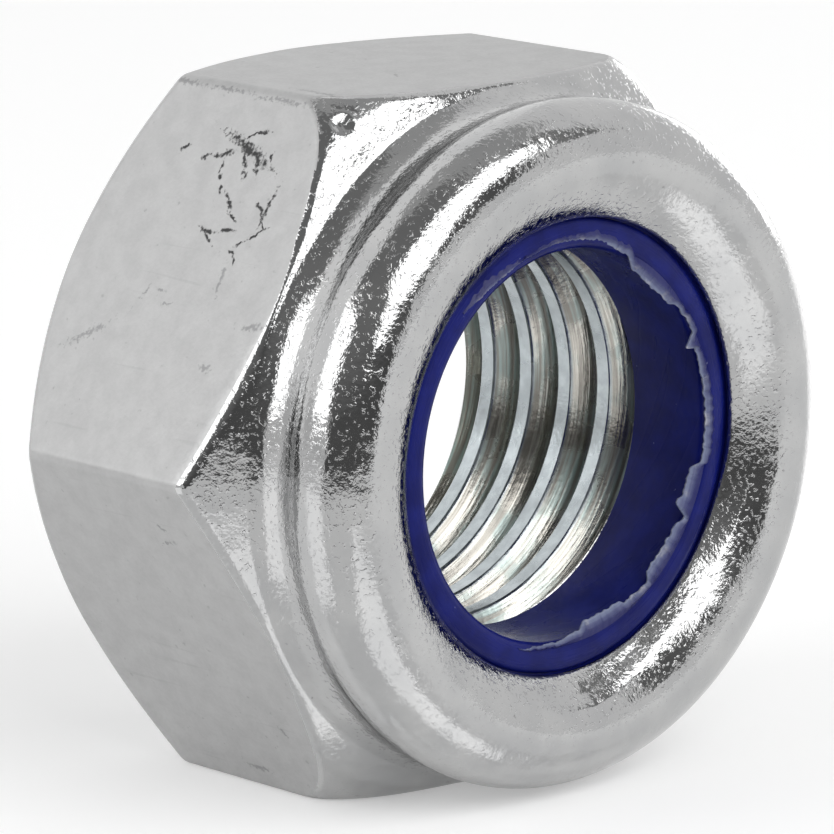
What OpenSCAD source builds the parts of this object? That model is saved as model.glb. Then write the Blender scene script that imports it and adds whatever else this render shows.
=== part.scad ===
// Hexagon lock nut with a crimped collar and a plastic locking ring, millimetres.
// The nut stands on one flat: thread axis along Y, crown towards -Y, underside at Z = 0.

/* [Hexagon] */
// Width across the flats
across_flats = 19; // [18:0.5:22]
// Height at which the crown chamfer meets the middle of each flat
flat_height = 8.2; // [7.6:0.1:9]
// Slope of the crown chamfer, from the plane of the bearing face
crown_chamfer_angle = 30; // [20:1:35]
// Slope of the bearing chamfer, from the plane of the bearing face
bearing_chamfer_angle = 43; // [25:1:45]
// How far the edge of the bearing face stays inside the flats
bearing_inset = 0.1; // [0.05:0.05:1]
// Radius along the six corners
corner_r = 0.35; // [0.1:0.05:0.8]
// Radius of the round crown ends of the corners, which the forming die did not fill
corner_end_r = 2.2; // [1.2:0.1:3]
// Radius of the crown end of the one corner that it filled better
filled_corner_end_r = 1.5; // [0.8:0.1:2.2]

/* [Thread bore] */
// Minor diameter of the thread, the wall that its crests stand on
thread_minor_d = 10.67; // [10.1:0.01:11.2]
// Major diameter of the thread, which the inner countersink opens to
thread_major_d = 12; // [11.6:0.1:12.4]
// Diameter of the countersink in the bearing face
mouth_d = 13.4; // [12.4:0.1:14.4]
// Included angle of both countersinks
countersink_angle = 90; // [80:5:120]

/* [Collar] */
// Height of the whole nut
nut_height = 11.7; // [11.4:0.1:13]
// How far the crease at the collar's root stays inside the flats
crease_inset = 0.11; // [0.05:0.01:0.5]
// Angle at which the neck leaves the crease, from the radial direction
crease_angle = 41; // [30:1:55]
// How far the widest ring of the rim stays inside the flats
rim_inset = 0.22; // [0.1:0.02:0.6]
// Radius of the rolled rim's section
rim_r = 1.45; // [1.2:0.05:1.6]
// Thickness of the collar at its widest ring
collar_wall = 1.13; // [0.9:0.01:1.3]
// Diameter of the opening that the crimped lip leaves
opening_d = 12.3; // [12:0.1:13]
// Slope of the lip from the rim down to the opening
lip_slope = 35.5; // [25:0.5:45]
// Radius of the lip's edge
lip_edge_r = 0.22; // [0.15:0.01:0.3]

/* [Locking ring] */
// Height of the seat under the ring, above the bearing face
seat_height = 8; // [7.4:0.1:8.6]
// Bore of the ring
ring_bore_d = 10.56; // [10.2:0.02:11.2]
// Rise of the ring's front face above the underside of the lip
ring_rise = 0.2; // [0.05:0.05:0.3]
// Radius at the front edge of the ring's bore
ring_edge_r = 0.3; // [0.1:0.05:0.4]
// Clearance round the ring in the collar and in the opening
ring_clearance = 0.02; // [0:0.01:0.05]

/* [Hidden] */
$fn = 96;

// Steps along each arc of a section
arc_steps = 12;
corner_steps = 4;
// Length that cutting shapes run past a face
overrun = 1;

// Crown ends of the six corners, counted from +X towards the top; the end without a radius is sharp
corner_end_radii = [corner_end_r, filled_corner_end_r, corner_end_r, 0, corner_end_r, corner_end_r];

flat_r = across_flats / 2;
corner_distance = (flat_r - corner_r) / cos(30);
corner_reach = flat_r / cos(30) + overrun;
bearing_r = flat_r - bearing_inset;
minor_r = thread_minor_d / 2;
major_r = thread_major_d / 2;
mouth_r = mouth_d / 2;
countersink_slope = tan(countersink_angle / 2);
mouth_depth = (mouth_r - minor_r) / countersink_slope;
inner_depth = (major_r - minor_r) / countersink_slope;

crown_normal = [sin(crown_chamfer_angle), cos(crown_chamfer_angle)];

// Root of the collar, on the crown chamfer
crease_r = flat_r - crease_inset;
crease_z = flat_height + crease_inset * tan(crown_chamfer_angle);

// Rolled rim: centre of its round section
rim_max_r = flat_r - rim_inset;
rim_centre = [rim_max_r - rim_r, nut_height - rim_r];

// Neck: the hollow arc that starts at the crease and runs smoothly into the rim
crease_normal = [cos(crease_angle), sin(crease_angle)];
crease_from_rim = [crease_r, crease_z] - rim_centre;
neck_r = (crease_from_rim * crease_from_rim - rim_r * rim_r) / (2 * (rim_r - crease_from_rim * crease_normal));
neck_centre = [crease_r, crease_z] + neck_r * crease_normal;
neck_end = atan2(rim_centre[1] - neck_centre[1], rim_centre[0] - neck_centre[0]);

// Lip: a straight slope from the rim to a small round edge
lip_angle = 90 + lip_slope;
opening_r = opening_d / 2;
edge_centre_r = opening_r + lip_edge_r;
edge_centre_z = rim_centre[1]
    + (rim_r - lip_edge_r + cos(lip_angle) * (rim_centre[0] - edge_centre_r)) / sin(lip_angle);
edge_centre = [edge_centre_r, edge_centre_z];
lip_underside = edge_centre_z - lip_edge_r;

// Pocket for the locking ring, and the ring in it
pocket_r = rim_max_r - collar_wall;
ring_r = pocket_r - ring_clearance;
ring_bore_r = ring_bore_d / 2;
ring_front_r = opening_r - ring_clearance;
ring_front = lip_underside + ring_rise;
// The radius at the bore's front edge takes at most half of the wall there
ring_front_edge_r = min(ring_edge_r, (ring_front_r - ring_bore_r) / 2);

// Points along an arc round centre c, from angle a0 to angle a1
function arc(c, r, a0, a1, steps) =
    [for (i = [0:steps]) let (a = a0 + (a1 - a0) * i / steps) c + r * [cos(a), sin(a)]];

// Outside of the turned body, from the bearing face up over the rim to the lip's underside
function outer_section() = concat(
    [
        [bearing_r, 0],
        [corner_reach, (corner_reach - bearing_r) * tan(bearing_chamfer_angle)],
        [corner_reach, flat_height - (corner_reach - flat_r) * tan(crown_chamfer_angle)]
    ],
    arc(neck_centre, neck_r, 180 + crease_angle, neck_end, arc_steps),
    arc(rim_centre, rim_r, neck_end - 180, lip_angle, 2 * arc_steps),
    arc(edge_centre, lip_edge_r, lip_angle, 270, arc_steps)
);

// Inside of the turned body, from the pocket down through the thread bore
function inner_section() = [
    [pocket_r, lip_underside],
    [pocket_r, seat_height],
    [major_r, seat_height],
    [minor_r, seat_height - inner_depth],
    [minor_r, mouth_depth],
    [mouth_r, 0]
];

// Centre of the arc that leaves the crown chamfer and runs smoothly into a corner's edge
function corner_end_centre(end_r) =
    let (centre_r = corner_distance + corner_r - end_r)
    [
        centre_r,
        (crown_normal * [flat_r, flat_height] - end_r - crown_normal[0] * centre_r) / crown_normal[1]
    ];

// Section of what the die did not fill outside a round corner end
function unfilled_section(end_r) =
    let (
        centre = corner_end_centre(end_r),
        end_arc = arc(centre, end_r, 0, 90 - crown_chamfer_angle, arc_steps),
        past_crown = end_arc[arc_steps] + overrun * crown_normal
    )
    concat(end_arc, [past_crown, [corner_reach, past_crown[1]], [corner_reach, centre[1]]]);

// Six-sided bar with rounded corners
module hexagon_bar() {
    translate([0, 0, -overrun])
        linear_extrude(height = nut_height + 2 * overrun)
            polygon([
                for (k = [0:5]) each
                    arc(corner_distance * [cos(60 * k), sin(60 * k)], corner_r,
                        60 * k - 30, 60 * k + 30, corner_steps)
            ]);
}

// What the die did not fill at the crown ends of the corners
module unfilled_corner_ends() {
    for (k = [0:5])
        if (corner_end_radii[k] > 0)
            rotate([0, 0, 60 * k - 30])
                rotate_extrude(angle = 60)
                    polygon(unfilled_section(corner_end_radii[k]));
}

// The turned shape that gives the bar its chamfers, collar, lip, pocket and bore
module turned_body() {
    rotate_extrude()
        polygon(concat(outer_section(), inner_section()));
}

// One-piece steel nut body
module nut_body() {
    color([0.74, 0.75, 0.76])
        standing_on_a_flat()
            difference() {
                intersection() {
                    hexagon_bar();
                    turned_body();
                }
                unfilled_corner_ends();
            }
}

// Plastic ring that the crimped lip holds on its seat
module locking_ring() {
    bore_edge_centre = [ring_bore_r + ring_front_edge_r, ring_front - ring_front_edge_r];
    color([0.1, 0.11, 0.42])
        standing_on_a_flat()
            rotate_extrude()
                polygon(concat(
                    [
                        [ring_bore_r, seat_height],
                        [ring_r, seat_height],
                        [ring_r, lip_underside],
                        [ring_front_r, lip_underside],
                        [ring_front_r, ring_front]
                    ],
                    arc(bore_edge_centre, ring_front_edge_r, 90, 180, arc_steps / 2)
                ));
}

// Turns a piece built along +Z so that the nut stands on one flat, centred on the origin
module standing_on_a_flat() {
    translate([0, nut_height / 2, flat_r])
        rotate([90, 0, 0])
            children();
}

nut_body();
locking_ring();
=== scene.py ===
import math
import random

import bmesh
import bpy
from mathutils import Matrix, Vector

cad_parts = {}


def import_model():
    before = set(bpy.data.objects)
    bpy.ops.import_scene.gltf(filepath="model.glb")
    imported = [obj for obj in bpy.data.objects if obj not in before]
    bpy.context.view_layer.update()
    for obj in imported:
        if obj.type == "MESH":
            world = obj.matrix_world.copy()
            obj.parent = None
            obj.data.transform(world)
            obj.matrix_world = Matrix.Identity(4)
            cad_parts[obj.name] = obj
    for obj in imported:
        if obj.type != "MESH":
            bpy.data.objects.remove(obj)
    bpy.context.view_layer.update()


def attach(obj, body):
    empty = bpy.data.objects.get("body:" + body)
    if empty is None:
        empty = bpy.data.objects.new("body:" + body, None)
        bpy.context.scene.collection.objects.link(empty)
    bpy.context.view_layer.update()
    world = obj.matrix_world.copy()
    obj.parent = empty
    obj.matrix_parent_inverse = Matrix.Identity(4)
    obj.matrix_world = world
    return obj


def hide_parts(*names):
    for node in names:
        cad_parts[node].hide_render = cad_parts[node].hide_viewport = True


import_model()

# Every length below is in millimetres until a finished mesh is placed. Pieces are made with the
# thread axis along +Z and the bearing face at Z = 0, and are then stood on one flat.
MM = 0.001

# Hexagon. Corner k is 60 k degrees round from +X, and flat k is 30 degrees further.
FLAT_R = 9.5
FLAT_HEIGHT = 8.2
CROWN_CHAMFER = 30
BEARING_CHAMFER = 43
BEARING_INSET = 0.1
CORNER_R = 0.35
CORNER_END_RADII = (2.2, 1.5, 2.2, 0.05, 2.2, 2.2)
EDGE_EASE = 0.22
BEARING_EASE = 0.12
EASE_SUPPORT = 0.06

# An ease takes at most this share of a narrow chamfer, and stays this far from the next ease
EASE_SHARE = 0.45
EASE_GAP = 0.004

# Beside the sharp corner the edge is rolled over further down the flats. The roll starts so many
# degrees away, and grows so many times as fast as it would to be whole only at the corner.
ROLLED_CORNER = 180
ROLLED_REACH = 30
ROLLED_EASE = 0.44
ROLLED_RISE = 1.8

# Thread bore
MINOR_R = 5.335
MAJOR_R = 6.0
MOUTH_R = 6.7
PITCH = 1.5
GROOVE_START = -1.52
GROOVE_TURNS = 7
GROOVE_STEPS = 120

# Half of the groove's section: radius and distance from its middle
GROOVE_HALF = (
    (5.0, 0.54), (MINOR_R, 0.54), (5.352, 0.505), (5.385, 0.465), (5.43, 0.428),
    (5.93, 0.14), (5.975, 0.1), (MAJOR_R, 0.04),
)

# Collar
NUT_HEIGHT = 11.7
CREASE_INSET = 0.11
CREASE_ANGLE = 41
CREASE_EASE = 0.058
RIM_INSET = 0.22
RIM_R = 1.45
COLLAR_WALL = 1.13
OPENING_R = 6.15
LIP_R = 2.9
LIP_START = 20
LIP_EDGE_R = 0.22

# Locking ring
SEAT_HEIGHT = 8
RING_BORE_R = 5.28
RING_RISE = 0.2
RING_EDGE_R = 0.3
RING_SHOULDER = 0.55
RING_CLEARANCE = 0.02

# Ragged flash round the front of the ring's bore: angle, inner radius and width along its free edge
FLASH_EDGE = (
    (134, 5.72, 0.12), (126, 5.55, 0.3), (116, 5.5, 0.3), (109, 5.55, 0.1), (97, 5.56, 0.16),
    (80, 5.5, 0.3), (67, 5.35, 0.3), (61.5, 5.05, 0.24), (53, 4.97, 0.14), (44, 5.02, 0.16),
    (37, 5.25, 0.16), (28, 5.33, 0.2), (24.5, 4.95, 0.3), (22, 5.22, 0.2), (12, 5.24, 0.3),
    (0, 5.28, 0.36), (-9, 5.28, 0.36), (-13, 5.3, 0.3), (-15.5, 4.87, 0.2), (-24, 4.85, 0.3),
    (-27.5, 4.7, 0.16), (-30.5, 5.2, 0.16), (-35, 4.98, 0.18), (-44, 4.95, 0.24), (-52, 4.95, 0.2),
    (-54, 5.2, 0.1), (-64, 5.12, 0.08), (-68, 4.94, 0.18), (-82, 4.9, 0.26), (-86, 5.12, 0.2),
    (-96, 5.3, 0.14), (-110, 5.5, 0.06),
)
FLASH_STEPS = 480
FLASH_TAPER_STEPS = 14
FLASH_SEED = 7
FLASH_WAVES = 14

# The flash's section: its thickness, the height and bulge of its free edge, its undercut foot, how
# thin it starts and ends, its least hold on the ring, and how deep its foot is sunk in it
FLASH_THICKNESS = 0.05
FLASH_EDGE_HEIGHT = 0.1
FLASH_BULGE = 0.012
FLASH_UNDERCUT = 0.02
FLASH_THIN_END = 0.3
FLASH_HOLD = 0.12
FLASH_SINK = 0.06

# How far the free edge wanders and is torn, how much the width swells, how high the flash stands
# over the ring's front, and how much it curls and flutters
FLASH_WANDER = 0.1
FLASH_TEAR = 0.008
FLASH_SWELL = 0.3
FLASH_LIFT = 0.02
FLASH_CURL = 0.05
FLASH_FLUTTER = 0.2

# How much of each point of the flash's section belongs to the free edge. The pale colour and the
# painted sheen that fades from it follow these shares.
FREE_EDGE_SHARES = (1, 1, 0.3, 0, 0, 0.3)

# Dent on the crown chamfer near the top left corner; its rim, floor and reach are shares of it
DENT_CENTRE = Vector((-5.37, 8.89, 7.55))
DENT_SIZE = 0.36
DENT_DEPTH = 0.055
DENT_RIM = 0.3
DENT_RIM_WIDTH = 0.18
DENT_FLOOR = 0.62
DENT_REACH = 1.5
DENT_CUTS = 3

# Low step that the crimping tool left in the lip: angle and radius of its outer edge. It runs out
# over so many degrees at each end.
LIP_STEP = ((-8, 6.7), (-25, 6.62), (-45, 6.5), (-60, 6.5), (-75, 6.75), (-90, 7.0), (-105, 7.1))
LIP_STEP_WIDTH = 0.34
LIP_STEP_DROP = 0.11
LIP_STEP_RUNOUT = 15

# Marks on the flats, and painted shade beside one corner: flat, start and end (along the flat,
# height), width. Each reaches so deep into the metal, and its outline wanders with so many grains a
# millimetre, by up to half of so many millimetres.
MARK_DEPTH = 0.3
MARK_GRAIN = 4.5
MARK_WANDER = 0.22
PITS = (
    (2, -4.0, 4.45, -3.55, 5.65, 0.22), (2, -4.06, 4.75, -4.3, 5.25, 0.05),
    (2, -4.3, 5.2, -4.34, 5.5, 0.07), (2, -3.7, 4.95, -3.2, 5.15, 0.1),
    (2, -3.2, 5.15, -3.1, 5.25, 0.1), (2, -3.7, 5.5, -3.3, 5.62, 0.12),
    (2, -3.72, 5.95, -3.6, 5.95, 0.07), (2, -3.62, 4.4, -3.5, 4.1, 0.12),
    (2, -3.46, 4.02, -3.44, 3.92, 0.1), (2, -3.42, 3.62, -3.36, 3.5, 0.1),
    (2, -3.62, 2.76, -3.52, 2.66, 0.1), (2, -3.35, 4.3, -3.1, 4.3, 0.05),
    (2, -2.92, 4.4, -2.86, 4.42, 0.07), (2, -2.65, 4.58, -2.52, 4.62, 0.06),
    (2, -2.4, 4.95, -2.05, 5.25, 0.1), (2, -1.95, 5.35, -1.85, 5.5, 0.06),
    (2, -1.42, 4.55, -1.4, 4.85, 0.09), (2, -1.3, 4.72, -1.15, 4.95, 0.07),
    (2, -1.5, 5.3, -1.55, 5.6, 0.09), (2, -2.65, 6.58, -2.0, 6.5, 0.11),
    (2, -2.35, 6.15, -2.2, 6.35, 0.1), (2, -1.95, 6.52, -1.72, 6.7, 0.05),
    (2, -1.7, 6.68, -1.4, 6.3, 0.05), (2, -1.25, 6.1, -1.15, 5.95, 0.07),
    (2, -0.98, 5.85, -0.9, 5.98, 0.05), (2, -0.8, 6.1, -0.72, 6.12, 0.06),
)
# Grey marks on the flats. The long stripes beside the corner between flats 1 and 2 (flat 2 near -5.3
# along, flat 1 near 4.9 along) are painted shade along that corner; the rest are grey marks on the
# metal.
GREY_MARKS_AND_CORNER_SHADE = (
    (2, -0.5, 5.88, 0.15, 5.93, 0.13), (2, 0.85, 3.2, 0.3, 3.5, 0.07),
    (2, 0.42, 3.72, 0.4, 3.98, 0.08), (2, 0.78, 4.15, 0.72, 4.5, 0.08),
    (2, 2.25, 1.4, 1.7, 2.3, 0.2), (2, 2.2, 6.5, 2.22, 6.72, 0.18), (2, 0.95, 7.4, 0.85, 7.9, 0.2),
    (2, -5.36, 0.9, -5.3, 2.4, 0.14), (2, -5.3, 2.6, -5.3, 4.3, 0.12),
    (2, -5.25, 4.8, -5.2, 6.6, 0.14), (3, 4.73, 4.6, 4.75, 5.2, 0.18),
    (3, 2.9, 6.7, 3.1, 6.8, 0.14), (3, -3.3, 5.6, -3.4, 6.0, 0.12), (3, -3.9, 5.7, -3.8, 5.9, 0.1),
    (1, 1.2, 5.2, 1.5, 5.6, 0.08), (1, 4.9, 5.5, 5.0, 7.2, 0.2),
)

# Steps round the turned shapes: on half of each round corner, from corner to corner, in all, and
# round the ring. The first step past a round corner is so many degrees from it.
ROUND_STEPS = 4
SECTOR_STEPS = 52
TURN_STEPS = 6 * SECTOR_STEPS
RING_TURN_STEPS = 144
ROUND_GAP = 0.4

# Steps along the curves of the sections
SMALL_EASE_STEPS = 4
EDGE_STEPS = 6
CHAMFER_STEPS = 8
NECK_STEPS = 22
RIM_STEPS = 36
LIP_STEPS = 30
LIP_EDGE_STEPS = 10
SHOULDER_STEPS = 10
RING_EDGE_STEPS = 8

# Smooth shading: faces that turn by more degrees meet at a hard edge, and a face with so many
# corners is flat
SHARP_EDGE = 25
FLAT_FACE_CORNERS = 9

# Differences too small to count, in degrees and in millimetres
SAME_ANGLE = 1e-6
SAME_PLACE = 1e-4

# Finishes of each piece, in the order of its materials
FLATS, TURNED, THREAD = range(3)
PLASTIC, PALE_FLASH = range(2)

# Where the nut body's finishes end: the height of the normal up to which the eased edge is still
# satin, how far the satin stays below the crease, the height of the normal on the countersinks,
# and the margin round the thread
SATIN_EDGE = 0.2
SATIN_MARGIN = 0.1
COUNTERSINK_SLOPE = math.sqrt(0.5)
MARGIN = 0.02

# Colours of the finishes, each from one cloud to the next
SATIN_ZINC = ((0.47, 0.47, 0.471), (0.51, 0.511, 0.511))
BRIGHT_ZINC = ((0.48, 0.483, 0.486), (0.54, 0.541, 0.54))
CREST_ZINC = ((0.44, 0.48, 0.5), (0.55, 0.6, 0.62))
FLANK_ZINC = ((0.6, 0.58, 0.53), (0.46, 0.56, 0.54))
BLUE_PLASTIC = ((0.004, 0.007, 0.1), (0.007, 0.012, 0.15))
# Pale stretched plastic of the flash, which also serves as the painted grey-blue sheen fading from
# its free edge
STRETCHED_PLASTIC_AND_SHEEN = ((0.24, 0.28, 0.4), (0.55, 0.56, 0.6))

# Colours of marks, pores and streaks, and the grey of the painted shade beside one corner
# Dull zinc of pores, scratches and grey marks; the same grey is the painted shade beside the corner
# between flats 1 and 2
DULL_ZINC_AND_SHADE = (0.22, 0.22, 0.225)
PIT = (0.05, 0.05, 0.051)
PORE = (0.2, 0.2, 0.2)
FLANK_STREAK = (0.33, 0.315, 0.285)
PLASTIC_SPECK = (0.25, 0.27, 0.45)
FLASH_FOOT = (0.009, 0.012, 0.12)

# Radii between which the rough edge of the lip turns smoother, and heights over the crests between
# which their colour passes into the flanks'
ROUGH_LIP = (6.4, 6.8)
CREST_FADE = (0.02, 0.09)

# Grains a millimetre along the turning lines, and along the thread axis
TURNING_GRAIN = 0.35
AXIAL_GRAIN = 0.9

# Studio, in metres
NUT_MIDDLE = Vector((0, 0, 0.0095))
SOFTBOX_DISTANCE = 0.6
SOFTBOX_RADIANCE = 2.4
ROOM_LIGHT = 0.5
FLOOR_SIZE = 1.5
FLOOR_GREY = 0.8
FLOOR_ROUGHNESS = 0.9
FLOOR_LIFT = 0.29
FLOOR_GLOSS = 0.25
FLOOR_GLOSS_ROUGHNESS = 0.1

# Lamps: name, azimuth, elevation, width, height
LAMPS = (
    ("left_softbox", -110, 24, 0.4, 0.34),
    ("front_softbox", 1, 40, 0.66, 0.42),
    ("right_reflector", 107, 7, 0.34, 0.14),
)

# Cards round the nut: name, distance, azimuths, elevations, brightness at the foot and at the top
ROOM_CARDS = (
    ("dark_room", 0.9, (-132, 10), (-5, 90), 0.1, 0.22),
    ("ceiling", 0.92, (-180, 180), (60, 90), 0.45, 0.45),
    ("grey_wall", 0.88, (8, 135), (-5, 60), 0.85, 0.85),
    ("wall_corner", 0.86, (39, 58), (30, 60), 0.25, 0.25),
    ("dark_flag", 0.5, (11, 34), (15, 36), 0.12, 0.12),
    ("lamp_stand", 0.86, (-150, -86), (-5, 8), 0.65, 0.65),
)
CARD_FOOT = 0.1
CARD_TOP = 0.5
CARD_SEGMENTS = 72

# Cards on the floor: name, azimuths, brightness
TABLE_CARDS = (
    ("table_edge", (-86, 8), 0.1),
    ("table_side", (-150, -86), 0.8),
)
TABLE_CARD_REACH = (0.068, 0.9)
TABLE_CARD_HEIGHT = 0.0003
TABLE_CARD_STEPS = 48

# Camera, in metres
CAMERA_PLACE = (-0.1091434, -0.1110038, 0.0434966)
CAMERA_RIGHT = Vector((0.71718405, -0.69687224, 0.00401408))
CAMERA_UP = Vector((0.14548645, 0.15535512, 0.97708673))
CAMERA_LENS = 254.13
CAMERA_SHIFT = (0.00436, -0.00221)

STAND = (
    Matrix.Scale(MM, 4)
    @ Matrix.Translation((0, NUT_HEIGHT / 2, FLAT_R))
    @ Matrix.Rotation(math.radians(90), 4, "X")
)


# Sections, as points (radius, height)

def polar(centre, radius, degrees):
    """The point at an angle on a circle in the section's plane."""
    a = math.radians(degrees)
    return Vector((centre[0] + radius * math.cos(a), centre[1] + radius * math.sin(a)))


def arc(centre, radius, start, end, steps):
    """Points along an arc, from one angle to another."""
    return [polar(centre, radius, start + (end - start) * i / steps) for i in range(steps + 1)]


def tangent_of(degrees):
    return math.tan(math.radians(degrees))


def chamfer_height(r):
    """Height of the crown chamfer at a radius."""
    return FLAT_HEIGHT - (r - FLAT_R) * tangent_of(CROWN_CHAMFER)


CORNER_DISTANCE = (FLAT_R - CORNER_R) / math.cos(math.radians(30))


def corner_end_centre(end_r):
    """Centre of the arc that joins the crown chamfer and a corner's edge smoothly."""
    r = CORNER_DISTANCE + CORNER_R - end_r
    return Vector((r, chamfer_height(r) - end_r / math.cos(math.radians(CROWN_CHAMFER))))


# Direction up the crown chamfer, and the angle from a corner's middle to the end of its round
CROWN_IN = polar((0, 0), 1, 180 - CROWN_CHAMFER)
ROUND_END = math.degrees(
    math.atan2(CORNER_R / 2, CORNER_DISTANCE + CORNER_R * math.cos(math.radians(30)))
)
CREASE = Vector((FLAT_R - CREASE_INSET, chamfer_height(FLAT_R - CREASE_INSET)))
RIM_CENTRE = Vector((FLAT_R - RIM_INSET - RIM_R, NUT_HEIGHT - RIM_R))
POCKET_R = FLAT_R - RIM_INSET - COLLAR_WALL


def neck_section():
    """The hollow arc from the crease into the rim, and the angle where the rim starts."""
    normal = polar((0, 0), 1, CREASE_ANGLE)
    offset = CREASE - RIM_CENTRE
    radius = (offset.dot(offset) - RIM_R**2) / (2 * (RIM_R - offset.dot(normal)))
    centre = CREASE + radius * normal
    across = RIM_CENTRE - centre
    end = math.degrees(math.atan2(across.y, across.x)) % 360
    start = 180 + CREASE_ANGLE - math.degrees(CREASE_EASE / radius)
    return arc(centre, radius, start, end, NECK_STEPS), end - 180


def lip_arcs():
    """Centre of the lip's long arc, the angle where it ends, and the centre of its round edge."""
    centre = RIM_CENTRE + (RIM_R - LIP_R) * polar((0, 0), 1, 90 + LIP_START)
    end = math.degrees(math.acos((OPENING_R + LIP_EDGE_R - centre.x) / (LIP_R - LIP_EDGE_R)))
    return centre, end, polar(centre, LIP_R - LIP_EDGE_R, end)


LIP_CENTRE, LIP_END, LIP_EDGE = lip_arcs()
LIP_UNDERSIDE = LIP_EDGE.y - LIP_EDGE_R
RING_FRONT = LIP_UNDERSIDE + RING_RISE


def eased(before, edge, after, steps):
    """A small round that leaves one line and joins the next."""
    shares = [i / steps for i in range(steps + 1)]
    return [before * (1 - s) ** 2 + edge * 2 * s * (1 - s) + after * s**2 for s in shares]


def wall_radius(off_corner):
    """Radius of the hexagon's wall, so many degrees from the nearest corner."""
    a = math.radians(off_corner)
    if off_corner <= ROUND_END:
        aside = CORNER_DISTANCE * math.sin(a)
        return CORNER_DISTANCE * math.cos(a) + math.sqrt(CORNER_R**2 - aside**2)
    return FLAT_R / math.cos(math.radians(30) - a)


def crown_arc_start(end_r, wall_r):
    """Where a wall meets a corner's round crown end, in degrees on its arc."""
    reach = (wall_r - corner_end_centre(end_r).x) / end_r
    return math.degrees(math.acos(max(min(reach, 1), math.sin(math.radians(CROWN_CHAMFER)))))


def crown_point(end_r, wall_r, distance):
    """The point so far from the wall's edge, over the corner's round end and up the crown chamfer."""
    centre = corner_end_centre(end_r)
    start = crown_arc_start(end_r, wall_r)
    top = 90 - CROWN_CHAMFER
    if start >= top - SAME_ANGLE:
        return Vector((wall_r, chamfer_height(wall_r))) + distance * CROWN_IN
    on_arc = math.radians(top - start) * end_r
    if distance < on_arc:
        return polar(centre, end_r, start + math.degrees(distance / end_r))
    return polar(centre, end_r, top) + (distance - on_arc) * CROWN_IN


def crown_length(end_r, wall_r):
    """Length from the wall's edge to the crease, over the crown."""
    top = 90 - CROWN_CHAMFER
    start = crown_arc_start(end_r, wall_r)
    if start >= top - SAME_ANGLE:
        return (wall_r - CREASE.x) / math.cos(math.radians(CROWN_CHAMFER))
    straight = polar(corner_end_centre(end_r), end_r, top).x - CREASE.x
    return math.radians(top - start) * end_r + straight / math.cos(math.radians(CROWN_CHAMFER))


def hexagon_section(turn):
    """The section from the bearing face up the wall to the crease, at an angle round the nut."""
    end_r = CORNER_END_RADII[round(turn / 60) % 6]
    wall_r = wall_radius(abs((turn + 30) % 60 - 30))
    foot = Vector((FLAT_R - BEARING_INSET, 0))
    low_edge = Vector((wall_r, (wall_r - foot.x) * tangent_of(BEARING_CHAMFER)))
    low_ease = min(BEARING_EASE, EASE_SHARE * (low_edge - foot).length)
    low_before = low_edge + (foot - low_edge).normalized() * low_ease
    up = Vector((0, 1))
    support = up * EASE_SUPPORT
    length = crown_length(end_r, wall_r)
    ease = min(EDGE_EASE, length - CREASE_EASE - EASE_GAP)
    rolled = max(0, 1 - abs(turn - ROLLED_CORNER) / ROLLED_REACH)
    fall = ease + (ROLLED_EASE - ease) * min(1, ROLLED_RISE * rolled)
    high_edge = crown_point(end_r, wall_r, 0)
    steps = range(1, CHAMFER_STEPS + 1)
    rest = [ease + (length - CREASE_EASE - ease) * i / CHAMFER_STEPS for i in steps]
    low_after = low_edge + up * low_ease
    high_before = high_edge - up * fall
    return [
        foot,
        *eased(low_before, low_edge, low_after, SMALL_EASE_STEPS),
        low_after + support,
        high_before - support,
        *eased(high_before, high_edge, crown_point(end_r, wall_r, ease), EDGE_STEPS),
        *[crown_point(end_r, wall_r, distance) for distance in rest],
    ]


def body_section():
    """The closed outline of the turned body, out over the rim and back down the bore."""
    neck, rim_start = neck_section()
    return [
        *hexagon_section(0),
        *eased(CREASE - CREASE_EASE * CROWN_IN, CREASE, neck[0], SMALL_EASE_STEPS)[1:],
        *neck[1:],
        *arc(RIM_CENTRE, RIM_R, rim_start, 90 + LIP_START, RIM_STEPS)[1:],
        *arc(LIP_CENTRE, LIP_R, 90 + LIP_START, LIP_END, LIP_STEPS)[1:],
        *arc(LIP_EDGE, LIP_EDGE_R, LIP_END, 270, LIP_EDGE_STEPS)[1:],
        Vector((POCKET_R, LIP_UNDERSIDE)),
        Vector((POCKET_R, SEAT_HEIGHT)),
        Vector((MAJOR_R, SEAT_HEIGHT)),
        Vector((MINOR_R, SEAT_HEIGHT - (MAJOR_R - MINOR_R))),
        Vector((MINOR_R, MOUTH_R - MINOR_R)),
        Vector((MOUTH_R, 0)),
    ]


def ring_section():
    """The closed outline of the plastic ring's section."""
    outer = POCKET_R - RING_CLEARANCE
    front = OPENING_R - RING_CLEARANCE
    edge = (RING_BORE_R + RING_EDGE_R, RING_FRONT - RING_EDGE_R)
    shoulder = Vector((front - RING_SHOULDER, LIP_UNDERSIDE))
    quarter = arc((0, 0), 1, 0, 90, SHOULDER_STEPS)
    return [
        Vector((RING_BORE_R, SEAT_HEIGHT)),
        Vector((outer, SEAT_HEIGHT)),
        Vector((outer, LIP_UNDERSIDE)),
        Vector((front, LIP_UNDERSIDE)),
        *[shoulder + Vector((RING_SHOULDER * p.x, RING_RISE * p.y)) for p in quarter[1:]],
        *arc(edge, RING_EDGE_R, 90, 180, RING_EDGE_STEPS),
    ]


# Mesh steps

def loop_of(bm, section):
    """A closed loop of edges in the XZ plane from a section's points."""
    verts = [bm.verts.new((p.x, 0, p.y)) for p in section]
    return verts + [bm.edges.new((a, b)) for a, b in zip(verts, verts[1:] + verts[:1])]


def turned(section, steps=TURN_STEPS):
    """A closed solid of revolution."""
    bm = bmesh.new()
    station = bm.verts.layers.int.new("station")
    loop = loop_of(bm, section)
    for i, v in enumerate(loop[:len(section)]):
        v[station] = i
    bmesh.ops.spin(
        bm, geom=loop, cent=(0, 0, 0), axis=(0, 0, 1), dvec=(0, 0, 0), angle=math.tau, steps=steps,
        use_merge=True,
    )
    bmesh.ops.recalc_face_normals(bm, faces=bm.faces)
    return bm


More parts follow.
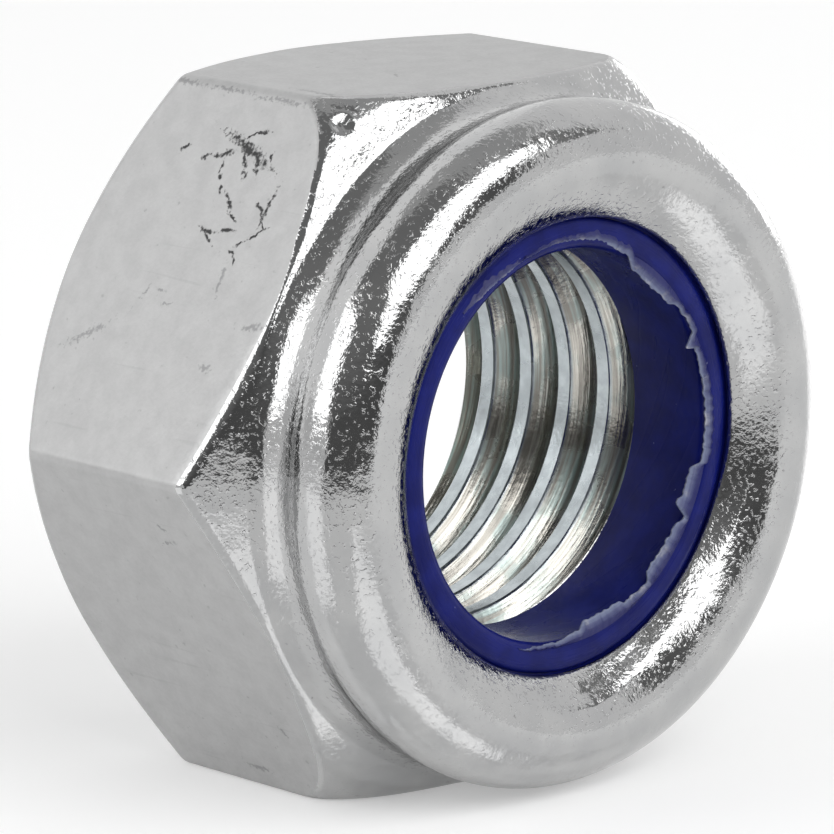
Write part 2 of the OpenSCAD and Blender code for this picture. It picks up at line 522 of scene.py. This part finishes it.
def sector_angles():
    """The steps from one corner to the next, close together where the corners are round."""
    start = ROUND_END + ROUND_GAP
    middle_steps = SECTOR_STEPS - 2 * ROUND_STEPS - 2
    rounded = [ROUND_END * i / ROUND_STEPS for i in range(ROUND_STEPS + 1)]
    middle = [start + (60 - 2 * start) * i / middle_steps for i in range(middle_steps + 1)]
    return rounded + middle + [60 - a for a in reversed(rounded[1:])]


def shape_hexagon(bm):
    """Moves the turned blank's outside onto six flats with rounded corners and eased edges."""
    station = bm.verts.layers.int["station"]
    angles = sector_angles()
    sections = {}
    for v in bm.verts:
        turn = math.degrees(math.atan2(v.co.y, v.co.x)) % 360
        sector, step = divmod(round(turn * TURN_STEPS / 360) % TURN_STEPS, SECTOR_STEPS)
        turn = 60 * sector + angles[step]
        if turn not in sections:
            sections[turn] = hexagon_section(turn)
        outside = sections[turn]
        if v[station] < len(outside):
            place = outside[v[station]]
        else:
            place = Vector((v.co.xy.length, v.co.z))
        v.co = (*polar((0, 0), place.x, turn), place.y)


def along(stops, degrees):
    """The values at an angle, carried smoothly from one stop to the next; the angles fall."""
    for before, after in zip(stops, stops[1:]):
        if after[0] <= degrees <= before[0]:
            share = (degrees - after[0]) / (before[0] - after[0])
            share = share * share * (3 - 2 * share)
            return [b + (a - b) * share for a, b in zip(before[1:], after[1:])]
    return None


def press_lip_step(bm):
    """Lowers the inner part of the lip a little, at the lower right."""
    for v in bm.verts:
        r = v.co.xy.length
        turn = math.degrees(math.atan2(v.co.y, v.co.x))
        edge = along(LIP_STEP, turn)
        if not edge or not OPENING_R - MARGIN < r < edge[0] or v.co.z < LIP_EDGE.y:
            continue
        share = min(1, (edge[0] - r) / LIP_STEP_WIDTH)
        from_ends = min(LIP_STEP[0][0] - turn, turn - LIP_STEP[-1][0])
        ends = min(1, from_ends / LIP_STEP_RUNOUT)
        v.co.z -= LIP_STEP_DROP * share * ends


def press_dent(bm, centre, size, depth):
    """Presses a round dent with a low raised rim into the surface."""
    reach = DENT_REACH * size
    near = [f for f in bm.faces if (f.calc_center_median() - centre).length < reach]
    edges = list({e for f in near for e in f.edges})
    bmesh.ops.subdivide_edges(bm, edges=edges, cuts=DENT_CUTS, use_grid_fill=True)
    bm.normal_update()
    moves = []
    for v in bm.verts:
        share = (v.co - centre).length / size
        if share < DENT_REACH:
            rim = DENT_RIM * math.exp(-((share - 1) / DENT_RIM_WIDTH) ** 2)
            moves.append((v, v.normal * depth * (rim - math.exp(-((share / DENT_FLOOR) ** 4)))))
    for v, move in moves:
        v.co += move


def to_mesh(bm, name):
    """A mesh from a bmesh, which is freed, without the station numbers of a turned blank."""
    station = bm.verts.layers.int.get("station")
    if station:
        bm.verts.layers.int.remove(station)
    mesh = bpy.data.meshes.new(name)
    bm.to_mesh(mesh)
    bm.free()
    return mesh


def boolean(mesh, cutter):
    """The mesh with a closed cutter taken away from it."""
    pair = [bpy.data.objects.new("working", m) for m in (mesh, cutter)]
    for obj in pair:
        bpy.context.scene.collection.objects.link(obj)
    step = pair[0].modifiers.new("cut", "BOOLEAN")
    step.operation = "DIFFERENCE"
    step.solver = "EXACT"
    step.object = pair[1]
    graph = bpy.context.evaluated_depsgraph_get()
    result = bpy.data.meshes.new_from_object(pair[0].evaluated_get(graph))
    for obj in pair:
        bpy.data.objects.remove(obj)
    return result


def groove_section():
    """One groove of the thread, from inside the bore to its root, with eased crest edges."""
    lower = [Vector((r, -z)) for r, z in GROOVE_HALF]
    return lower + [Vector((r, z)) for r, z in reversed(GROOVE_HALF)]


def thread_cutter():
    """The helical groove as one closed solid, a right-hand thread."""
    steps = GROOVE_STEPS * GROOVE_TURNS
    bm = bmesh.new()
    loop = loop_of(bm, groove_section())
    bmesh.ops.translate(
        bm, vec=(0, 0, GROOVE_START),
        verts=[v for v in loop if isinstance(v, bmesh.types.BMVert)],
    )
    bmesh.ops.spin(
        bm, geom=loop, cent=(0, 0, 0), axis=(0, 0, 1), dvec=(0, 0, PITCH / GROOVE_STEPS),
        angle=math.tau * GROOVE_TURNS, steps=steps, use_merge=False,
    )
    bmesh.ops.holes_fill(bm, edges=[e for e in bm.edges if e.is_boundary])
    bmesh.ops.recalc_face_normals(bm, faces=bm.faces)
    return to_mesh(bm, "thread_cutter")


def mark_smooth(bm):
    """Smooth shading, with hard edges where faces turn sharply."""
    limit = math.radians(SHARP_EDGE)
    for f in bm.faces:
        f.smooth = len(f.verts) < FLAT_FACE_CORNERS
    for e in bm.edges:
        e.smooth = len(e.link_faces) == 2 and e.calc_face_angle(0) < limit


def finish_piece(mesh, name, node, materials, finish_of=None):
    """Cleans a mesh, stands it in the part's frame, gives it its body and finishes, and hides the
    model's node that it stands in for.
    """
    bm = bmesh.new()
    bm.from_mesh(mesh)
    bmesh.ops.remove_doubles(bm, verts=bm.verts, dist=SAME_PLACE)
    bmesh.ops.dissolve_degenerate(bm, dist=SAME_PLACE, edges=bm.edges)
    mark_smooth(bm)
    if finish_of:
        for f in bm.faces:
            f.material_index = finish_of(f)
    bmesh.ops.transform(bm, matrix=STAND, verts=bm.verts)
    mesh.materials.clear()
    for material in materials:
        mesh.materials.append(material)
    bm.to_mesh(mesh)
    bm.free()
    mesh.name = name
    piece = bpy.data.objects.new(name, mesh)
    bpy.context.scene.collection.objects.link(piece)
    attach(piece, "root")
    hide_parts(node)
    return piece


# Materials

def shader(name, **sockets):
    """A new material with a Principled shader, and its node tree."""
    material = bpy.data.materials.new(name)
    material.use_nodes = True
    tree = material.node_tree
    principled = tree.nodes["Principled BSDF"]
    for socket, value in sockets.items():
        principled.inputs[socket.replace("_", " ")].default_value = value
    return material, tree, principled


def millimetres(tree, stretch=(1, 1, 1)):
    """The place on the piece in millimetres, stretched along the part's axes."""
    place = tree.nodes.new("ShaderNodeTexCoord")
    mapping = tree.nodes.new("ShaderNodeMapping")
    mapping.inputs["Scale"].default_value = [s / MM for s in stretch]
    tree.links.new(place.outputs["Object"], mapping.inputs["Vector"])
    return mapping.outputs[0]


def grain(tree, vector, scale, detail=2.0):
    """Soft noise, about 0.5 in the middle, with so many grains a millimetre."""
    node = tree.nodes.new("ShaderNodeTexNoise")
    node.inputs["Scale"].default_value = scale
    node.inputs["Detail"].default_value = detail
    tree.links.new(vector, node.inputs["Vector"])
    return node.outputs["Fac"]


def math_node(tree, operation, a, b):
    """One sum on two values; each is an output or a number."""
    node = tree.nodes.new("ShaderNodeMath")
    node.operation = operation
    for socket, value in zip(node.inputs, (a, b)):
        if isinstance(value, (int, float)):
            socket.default_value = value
        else:
            tree.links.new(value, socket)
    return node.outputs[0]


def vector_node(tree, operation, *values):
    """One sum on vectors; each is an output or three numbers. A length comes out as a number."""
    node = tree.nodes.new("ShaderNodeVectorMath")
    node.operation = operation
    for socket, value in zip(node.inputs, values):
        if isinstance(value, tuple):
            socket.default_value = value
        else:
            tree.links.new(value, socket)
    return node.outputs["Value" if operation == "LENGTH" else "Vector"]


def graded(tree, value, low, high, to_low=0.0, to_high=1.0, way="SMOOTHSTEP"):
    """A value's range carried onto another, smoothly unless another way is named."""
    node = tree.nodes.new("ShaderNodeMapRange")
    node.interpolation_type = way
    ends = {"From Min": low, "From Max": high, "To Min": to_low, "To Max": to_high}
    for end, number in ends.items():
        node.inputs[end].default_value = number
    tree.links.new(value, node.inputs["Value"])
    return node.outputs[0]


def blend(tree, share, first, second):
    """One colour passing into another; each is a colour or an output."""
    node = tree.nodes.new("ShaderNodeMix")
    node.data_type = "RGBA"
    tree.links.new(share, node.inputs["Factor"])
    for socket, colour in ((node.inputs[6], first), (node.inputs[7], second)):
        if isinstance(colour, tuple):
            socket.default_value = (*colour, 1)
        else:
            tree.links.new(colour, socket)
    return node.outputs[2]


def relief(tree, principled, *layers):
    """Bumps laid one over another; each is a height and its depth in millimetres."""
    normal = None
    for height, depth in layers:
        node = tree.nodes.new("ShaderNodeBump")
        node.inputs["Distance"].default_value = depth * MM
        tree.links.new(height, node.inputs["Height"])
        if normal:
            tree.links.new(normal, node.inputs["Normal"])
        normal = node.outputs[0]
    tree.links.new(normal, principled.inputs["Normal"])


def mark_frame(flat, side_start, up_start, side_end, up_end, width):
    """Place, turn and size of a long thin mark on one of the flats."""
    a = math.radians(30 + 60 * flat)
    out = Vector((math.cos(a), math.sin(a), 0))
    side = Vector((-math.sin(a), math.cos(a), 0))
    up = Vector((0, 0, 1))
    run = side * (side_end - side_start) + up * (up_end - up_start)
    middle = out * FLAT_R + side * (side_start + side_end) / 2 + up * (up_start + up_end) / 2
    x = run.normalized()
    turn = STAND.to_3x3() @ Matrix((x, out.cross(x), out)).transposed()
    half = ((run.length / 2 + width / 2) * MM, width * MM / 2, MARK_DEPTH * MM)
    return STAND @ middle, turn.to_quaternion().to_euler("XYZ"), half


def wander(tree, scale, reach):
    """The place on the piece, shifted to and fro by up to about half a reach in millimetres."""
    coordinates = tree.nodes.new("ShaderNodeTexCoord")
    noise = tree.nodes.new("ShaderNodeTexNoise")
    noise.inputs["Scale"].default_value = scale
    tree.links.new(millimetres(tree), noise.inputs["Vector"])
    reaches, centring = (reach * MM,) * 3, (-reach * MM / 2,) * 3
    shift = vector_node(tree, "MULTIPLY_ADD", noise.outputs["Color"], reaches, centring)
    return vector_node(tree, "ADD", coordinates.outputs["Object"], shift)


def nearest_mark(tree, marks, ragged):
    """Less than 1 inside the nearest of some marks, with a ragged edge."""
    nearest = None
    wandering = wander(tree, MARK_GRAIN, MARK_WANDER)
    for mark in marks:
        place, turn, half = mark_frame(*mark)
        mapping = tree.nodes.new("ShaderNodeMapping")
        mapping.vector_type = "TEXTURE"
        mapping.inputs["Location"].default_value = place
        mapping.inputs["Rotation"].default_value = turn
        mapping.inputs["Scale"].default_value = half
        tree.links.new(wandering, mapping.inputs["Vector"])
        distance = vector_node(tree, "LENGTH", mapping.outputs[0])
        nearest = math_node(tree, "MINIMUM", nearest, distance) if nearest else distance
    return math_node(tree, "ADD", nearest, ragged)


def from_axis(tree):
    """Distance from the thread axis, in millimetres."""
    from_middle = vector_node(tree, "SUBTRACT", millimetres(tree), (0, 0, FLAT_R))
    return vector_node(tree, "LENGTH", vector_node(tree, "MULTIPLY", from_middle, (1, 0, 1)))


def turning_lines(tree, lines):
    """Noise in fine lines that run round the axis, so many a millimetre."""
    axes = tree.nodes.new("ShaderNodeSeparateXYZ")
    tree.links.new(millimetres(tree), axes.inputs[0])
    joined = tree.nodes.new("ShaderNodeCombineXYZ")
    tree.links.new(math_node(tree, "MULTIPLY", from_axis(tree), lines), joined.inputs[0])
    tree.links.new(math_node(tree, "MULTIPLY", axes.outputs["X"], TURNING_GRAIN), joined.inputs[1])
    upwards = math_node(tree, "MULTIPLY", axes.outputs["Z"], TURNING_GRAIN)
    lengthwise = math_node(tree, "MULTIPLY", axes.outputs["Y"], AXIAL_GRAIN)
    tree.links.new(math_node(tree, "ADD", upwards, lengthwise), joined.inputs[2])
    return grain(tree, joined.outputs[0], 1.0, 3.0)


def zinc_flats():
    """Satin zinc on the forged flats, with cloudy patches, fine pores, scratches, grey marks and dark
    pits, and painted shade beside one corner.
    """
    material, tree, principled = shader("zinc_flats", Metallic=1.0)
    place = millimetres(tree)
    fine = grain(tree, place, 9)
    clouds = grain(tree, place, 1.6, 8)
    centred = math_node(tree, "SUBTRACT", grain(tree, place, 10, 2), 0.5)
    ragged = math_node(tree, "MULTIPLY", centred, 4.5)
    pits = graded(tree, nearest_mark(tree, PITS, ragged), 1.7, 0.3, 0, 0.92)
    # Grey marks, together with painted shade along the corner between flats 1 and 2
    greys_and_corner_shade = graded(tree, nearest_mark(tree, GREY_MARKS_AND_CORNER_SHADE, ragged), 1.3, 0.2, 0, 0.6)
    pores = graded(tree, grain(tree, place, 4.2, 3), 0.68, 0.76, 0, 0.35)
    along_flats = millimetres(tree, (0.5, 0.2, 7))
    scratches = graded(tree, grain(tree, along_flats, 1.0, 3), 0.66, 0.74, 0, 0.12)
    plain = blend(tree, graded(tree, clouds, 0.3, 0.7), *SATIN_ZINC)
    dark = math_node(tree, "MAXIMUM", math_node(tree, "MAXIMUM", pores, scratches), greys_and_corner_shade)
    dulled_and_shaded = blend(tree, dark, plain, DULL_ZINC_AND_SHADE)
    tree.links.new(blend(tree, pits, dulled_and_shaded, PIT), principled.inputs["Base Color"])
    rough = graded(tree, fine, 0.25, 0.75, 0.4, 0.5)
    rougher = math_node(tree, "ADD", rough, math_node(tree, "MULTIPLY", pits, 0.2))
    tree.links.new(rougher, principled.inputs["Roughness"])
    sunk = math_node(tree, "SUBTRACT", 1.0, pits)
    relief(tree, principled, (clouds, 0.01), (fine, 0.004), (sunk, 0.02))
    return material


def zinc_turned():
    """Bright zinc on the turned shapes, pebbled most at the lip, with faint turning lines."""
    material, tree, principled = shader("zinc_turned", Metallic=1.0)
    place = millimetres(tree)
    rough_lip = graded(tree, from_axis(tree), *ROUGH_LIP, 1.0, 0.65)
    pebbles = math_node(tree, "MULTIPLY", grain(tree, place, 9, 2), rough_lip)
    waves = grain(tree, place, 1.1, 2)
    lines = turning_lines(tree, 9)
    clouds = graded(tree, grain(tree, place, 0.7, 5), 0.3, 0.7)
    pores = graded(tree, grain(tree, place, 3.6, 4), 0.7, 0.78, 0, 0.5)
    plain = blend(tree, clouds, *BRIGHT_ZINC)
    tree.links.new(blend(tree, pores, plain, PORE), principled.inputs["Base Color"])
    tree.links.new(graded(tree, clouds, 0, 1, 0.06, 0.11), principled.inputs["Roughness"])
    craters = graded(tree, grain(tree, place, 7.5, 3), 0.56, 0.68)
    relief(tree, principled, (waves, 0.03), (lines, 0.002), (pebbles, 0.012), (craters, 0.005))
    return material


def zinc_thread():
    """Zinc in the thread: pale blue-grey crests, brownish flanks streaked along the groove."""
    material, tree, principled = shader("zinc_thread", Metallic=1.0)
    place = millimetres(tree)
    radius = from_axis(tree)
    lines = turning_lines(tree, 12)
    patches = graded(tree, grain(tree, place, 0.8, 4), 0.35, 0.65)
    flank = blend(tree, patches, *FLANK_ZINC)
    streaked = blend(tree, graded(tree, lines, 0.35, 0.65), FLANK_STREAK, flank)
    below_crest = graded(tree, radius, *(MINOR_R + height for height in CREST_FADE))
    crest = blend(tree, graded(tree, grain(tree, place, 2.5, 4), 0.3, 0.7), *CREST_ZINC)
    tree.links.new(blend(tree, below_crest, crest, streaked), principled.inputs["Base Color"])
    tree.links.new(graded(tree, patches, 0, 1, 0.18, 0.32), principled.inputs["Roughness"])
    relief(tree, principled, (lines, 0.012), (grain(tree, place, 7, 3), 0.006))
    return material


def zinc_finish(face):
    """Which of the three finishes a face of the upright nut body has."""
    middle = face.calc_center_median()
    r = middle.xy.length
    below_crease = r > FLAT_R - RIM_INSET and middle.z < CREASE.y - SATIN_MARGIN
    if below_crease and abs(face.normal.z) < SATIN_EDGE:
        return FLATS
    countersink = abs(abs(face.normal.z) - COUNTERSINK_SLOPE) < MARGIN
    if r < MAJOR_R + MARGIN and middle.z < SEAT_HEIGHT + MARGIN and not countersink:
        return THREAD
    return TURNED


def blue_nylon():
    """Dark blue plastic, cloudy, with faint turning lines and small pale specks."""
    material, tree, principled = shader("blue_nylon", Specular_IOR_Level=0.15)
    place = millimetres(tree)
    clouds = graded(tree, grain(tree, place, 1.2, 4), 0.3, 0.7)
    specks = graded(tree, grain(tree, place, 5.5, 2), 0.76, 0.8, 0, 0.6)
    lines = turning_lines(tree, 7)
    plain = blend(tree, clouds, *BLUE_PLASTIC)
    tree.links.new(blend(tree, specks, plain, PLASTIC_SPECK), principled.inputs["Base Color"])
    tree.links.new(graded(tree, lines, 0.3, 0.7, 0.22, 0.34), principled.inputs["Roughness"])
    relief(tree, principled, (lines, 0.006), (grain(tree, place, 5, 3), 0.008))
    return material


def pale_flash():
    """The ring's thin flash: pale stretched plastic at its free edge, with a painted grey-blue sheen
    that fades from there over its top to the dark blue foot.
    """
    material, tree, principled = shader("pale_flash", Roughness=0.45)
    place = millimetres(tree)
    edge = tree.nodes.new("ShaderNodeAttribute")
    edge.attribute_name = "free_edge"
    streaks = graded(tree, turning_lines(tree, 14), 0.35, 0.7, 0.6, 1.0)
    torn = graded(tree, grain(tree, place, 2.2, 5), 0.52, 0.72)
    # Share of pale colour: stretched plastic at the free edge, and painted sheen where it fades over
    # the top
    stretched = math_node(tree, "MULTIPLY", graded(tree, edge.outputs["Fac"], 0.1, 1.15), streaks)
    pale = blend(tree, torn, *STRETCHED_PLASTIC_AND_SHEEN)
    tree.links.new(blend(tree, stretched, FLASH_FOOT, pale), principled.inputs["Base Color"])
    relief(tree, principled, (torn, 0.03))
    return material


# Pieces

def nut_body():
    """The steel body: turned, given its six flats, marked by the tools and threaded."""
    bm = turned(body_section())
    shape_hexagon(bm)
    press_lip_step(bm)
    press_dent(bm, DENT_CENTRE, DENT_SIZE, DENT_DEPTH)
    body = boolean(to_mesh(bm, "blank"), thread_cutter())
    finishes = (zinc_flats(), zinc_turned(), zinc_thread())
    return finish_piece(body, "nut_body_detailed", "nut_body", finishes, zinc_finish)


def flash_section(turn, shake, taper, rand):
    """The flash's section at an angle, from the free edge over to the foot and back."""
    inner, width = along(FLASH_EDGE, turn)
    inner += FLASH_WANDER * shake + rand.uniform(-FLASH_TEAR, FLASH_TEAR)
    outer = max(inner + width * (1 + FLASH_SWELL * shake), RING_BORE_R + FLASH_HOLD)
    flutter = shake + rand.uniform(-FLASH_FLUTTER, FLASH_FLUTTER)
    lift = RING_FRONT + FLASH_LIFT + FLASH_CURL * flutter
    sunk = RING_FRONT - FLASH_SINK
    middle = (inner + outer) / 2
    half = FLASH_THICKNESS * (FLASH_THIN_END + (1 - FLASH_THIN_END) * taper) / 2
    return [
        (inner, lift - FLASH_EDGE_HEIGHT),
        (inner - FLASH_BULGE, lift - FLASH_EDGE_HEIGHT / 2),
        (middle, lift + half),
        (outer, sunk + half),
        (outer - FLASH_UNDERCUT, sunk - half),
        (middle, lift - 3 * half),
    ]


def flash():
    """The ragged ribbon of plastic that stands on the front edge of the ring's bore."""
    rand = random.Random(FLASH_SEED)
    start, end = FLASH_EDGE[0][0], FLASH_EDGE[-1][0]
    waves = [
        (rand.uniform(0.3, 3.0), rand.uniform(0, math.tau), rand.uniform(0.2, 1))
        for _ in range(FLASH_WAVES)
    ]
    bm = bmesh.new()
    free_edge = bm.verts.layers.float.new("free_edge")
    rings = []
    for i in range(FLASH_STEPS + 1):
        turn = start + (end - start) * i / FLASH_STEPS
        shake = sum(h * math.sin(turn * f + p) for f, p, h in waves) / len(waves)
        taper = min(1, i / FLASH_TAPER_STEPS, (FLASH_STEPS - i) / FLASH_TAPER_STEPS)
        section = flash_section(turn, shake, taper, rand)
        rings.append([bm.verts.new((*polar((0, 0), r, turn), z)) for r, z in section])
        for v, share in zip(rings[-1], FREE_EDGE_SHARES):
            v[free_edge] = share
    before = None
    for ring in rings:
        edges = [bm.edges.new(pair) for pair in zip(ring, ring[1:] + ring[:1])]
        if before:
            bmesh.ops.bridge_loops(bm, edges=before + edges)
        before = edges
    bmesh.ops.holes_fill(bm, edges=[e for e in bm.edges if e.is_boundary])
    bmesh.ops.recalc_face_normals(bm, faces=bm.faces)
    return to_mesh(bm, "flash")


def locking_ring():
    """The plastic ring, and the flash that was torn from it."""
    bm = bmesh.new()
    bm.from_mesh(to_mesh(turned(ring_section(), RING_TURN_STEPS), "ring"))
    made = len(bm.faces)
    bm.from_mesh(flash())
    for i, f in enumerate(bm.faces):
        f.material_index = PLASTIC if i < made else PALE_FLASH
    finishes = (blue_nylon(), pale_flash())
    ring = to_mesh(bm, "ring")
    return finish_piece(ring, "locking_ring_detailed", "locking_ring", finishes)


# Studio

def camera():
    """The photograph's view: a long lens to the left of the crown and a little above it."""
    data = bpy.data.cameras.new("camera")
    obj = bpy.data.objects.new("camera", data)
    bpy.context.scene.collection.objects.link(obj)
    data.sensor_width = 36
    data.lens = CAMERA_LENS
    data.shift_x, data.shift_y = CAMERA_SHIFT
    data.clip_start = 0.01
    data.clip_end = 10
    back = CAMERA_RIGHT.cross(CAMERA_UP)
    basis = Matrix((CAMERA_RIGHT, CAMERA_UP, back)).transposed().to_4x4()
    obj.matrix_world = Matrix.Translation(CAMERA_PLACE) @ basis
    bpy.context.scene.camera = obj


def toward(azimuth, elevation, distance):
    """A place seen from the nut at an azimuth (0 is in front of the crown) and an elevation."""
    a, e = math.radians(azimuth), math.radians(elevation)
    direction = Vector((math.sin(a) * math.cos(e), -math.cos(a) * math.cos(e), math.sin(e)))
    return NUT_MIDDLE + direction * distance


def background_rays(tree):
    """1 for the rays that see the background: from the camera, off gloss and through glass."""
    path = tree.nodes.new("ShaderNodeLightPath")
    seen = path.outputs["Is Camera Ray"]
    for kind in ("Is Glossy Ray", "Is Transmission Ray"):
        seen = math_node(tree, "MAXIMUM", seen, path.outputs[kind])
    return seen


def world():
    """A white room: plain white behind the part and in its reflections, softer as light."""
    made = bpy.data.worlds.new("room")
    bpy.context.scene.world = made
    made.use_nodes = True
    tree = made.node_tree
    tree.nodes.clear()
    mix = tree.nodes.new("ShaderNodeMixShader")
    tree.links.new(background_rays(tree), mix.inputs["Fac"])
    for place, strength in ((1, ROOM_LIGHT), (2, 1.0)):
        background = tree.nodes.new("ShaderNodeBackground")
        background.inputs["Color"].default_value = (1, 1, 1, 1)
        background.inputs["Strength"].default_value = strength
        tree.links.new(background.outputs[0], mix.inputs[place])
    out = tree.nodes.new("ShaderNodeOutputWorld")
    tree.links.new(mix.outputs[0], out.inputs["Surface"])


def floor():
    """The pale table: lifted to white as a background, with its shadow kept, and a little glossy."""
    bm = bmesh.new()
    bmesh.ops.create_grid(bm, x_segments=1, y_segments=1, size=FLOOR_SIZE)
    obj = bpy.data.objects.new("floor", to_mesh(bm, "floor"))
    bpy.context.scene.collection.objects.link(obj)
    grey = (FLOOR_GREY, FLOOR_GREY, FLOOR_GREY, 1)
    material, tree, principled = shader("floor", Base_Color=grey, Roughness=FLOOR_ROUGHNESS)
    principled.inputs["Emission Color"].default_value = (1, 1, 1, 1)
    lift = math_node(tree, "MULTIPLY", background_rays(tree), FLOOR_LIFT)
    tree.links.new(lift, principled.inputs["Emission Strength"])
    glossy = tree.nodes.new("ShaderNodeBsdfGlossy")
    glossy.inputs["Roughness"].default_value = FLOOR_GLOSS_ROUGHNESS
    path = tree.nodes.new("ShaderNodeLightPath")
    share = math_node(tree, "MULTIPLY", path.outputs["Is Glossy Ray"], FLOOR_GLOSS)
    mix = tree.nodes.new("ShaderNodeMixShader")
    tree.links.new(share, mix.inputs["Fac"])
    tree.links.new(principled.outputs[0], mix.inputs[1])
    tree.links.new(glossy.outputs[0], mix.inputs[2])
    tree.links.new(mix.outputs[0], tree.nodes["Material Output"].inputs["Surface"])
    obj.data.materials.append(material)


def card(name, bm, low, high):
    """A plain card of the studio that shows only in reflections, brighter from its foot upwards."""
    obj = bpy.data.objects.new(name, to_mesh(bm, name))
    bpy.context.scene.collection.objects.link(obj)
    material = bpy.data.materials.new(name)
    material.use_nodes = True
    tree = material.node_tree
    tree.nodes.clear()
    emission = tree.nodes.new("ShaderNodeEmission")
    place = tree.nodes.new("ShaderNodeTexCoord")
    axes = tree.nodes.new("ShaderNodeSeparateXYZ")
    tree.links.new(place.outputs["Object"], axes.inputs[0])
    brightness = graded(tree, axes.outputs["Z"], CARD_FOOT, CARD_TOP, low, high, "LINEAR")
    tree.links.new(brightness, emission.inputs["Strength"])
    out = tree.nodes.new("ShaderNodeOutputMaterial")
    tree.links.new(emission.outputs[0], out.inputs["Surface"])
    obj.data.materials.append(material)
    obj.visible_camera = False
    obj.visible_diffuse = False
    obj.visible_transmission = False
    obj.visible_shadow = False


def room_card(name, distance, azimuths, elevations, low, high):
    """A card that is part of a sphere round the nut."""
    bm = bmesh.new()
    bmesh.ops.create_uvsphere(
        bm, u_segments=CARD_SEGMENTS, v_segments=CARD_SEGMENTS // 2, radius=distance
    )
    outside = []
    for f in bm.faces:
        c = f.calc_center_median()
        azimuth = math.degrees(math.atan2(c.x, -c.y))
        elevation = math.degrees(math.asin(c.z / c.length))
        beside = not azimuths[0] < azimuth < azimuths[1]
        if beside or not elevations[0] < elevation < elevations[1]:
            outside.append(f)
    bmesh.ops.delete(bm, geom=outside, context="FACES")
    bmesh.ops.translate(bm, vec=NUT_MIDDLE, verts=bm.verts)
    card(name, bm, low, high)


def table_edge_card(name, azimuths, brightness):
    """A card that lies on the floor past the bright part of the table."""
    bm = bmesh.new()
    ends = [bm.verts.new((0, -r, TABLE_CARD_HEIGHT)) for r in TABLE_CARD_REACH]
    edge = bm.edges.new(ends)
    bmesh.ops.rotate(
        bm, cent=(0, 0, 0), matrix=Matrix.Rotation(math.radians(azimuths[0]), 3, "Z"), verts=ends
    )
    bmesh.ops.spin(
        bm, geom=ends + [edge], cent=(0, 0, 0), axis=(0, 0, 1), dvec=(0, 0, 0),
        angle=math.radians(azimuths[1] - azimuths[0]), steps=TABLE_CARD_STEPS, use_merge=False,
    )
    card(name, bm, brightness, brightness)


def softbox(name, azimuth, elevation, width, height):
    """A soft lamp that faces the part; all of them shine at the same brightness."""
    data = bpy.data.lights.new(name, "AREA")
    data.shape = "RECTANGLE"
    data.size = width
    data.size_y = height
    data.energy = math.pi * width * height * SOFTBOX_RADIANCE
    obj = bpy.data.objects.new(name, data)
    bpy.context.scene.collection.objects.link(obj)
    place = toward(azimuth, elevation, SOFTBOX_DISTANCE)
    obj.location = place
    obj.rotation_mode = "QUATERNION"
    obj.rotation_quaternion = (place - NUT_MIDDLE).to_track_quat("Z", "Y")
    obj.visible_camera = False


def studio():
    """Two softboxes and a reflector over a bright table, in a room that is dark behind the camera."""
    world()
    floor()
    for lamp in LAMPS:
        softbox(*lamp)
    for room in ROOM_CARDS:
        room_card(*room)
    for table in TABLE_CARDS:
        table_edge_card(*table)


bpy.context.scene.view_settings.view_transform = "Standard"
nut_body()
locking_ring()
camera()
studio()
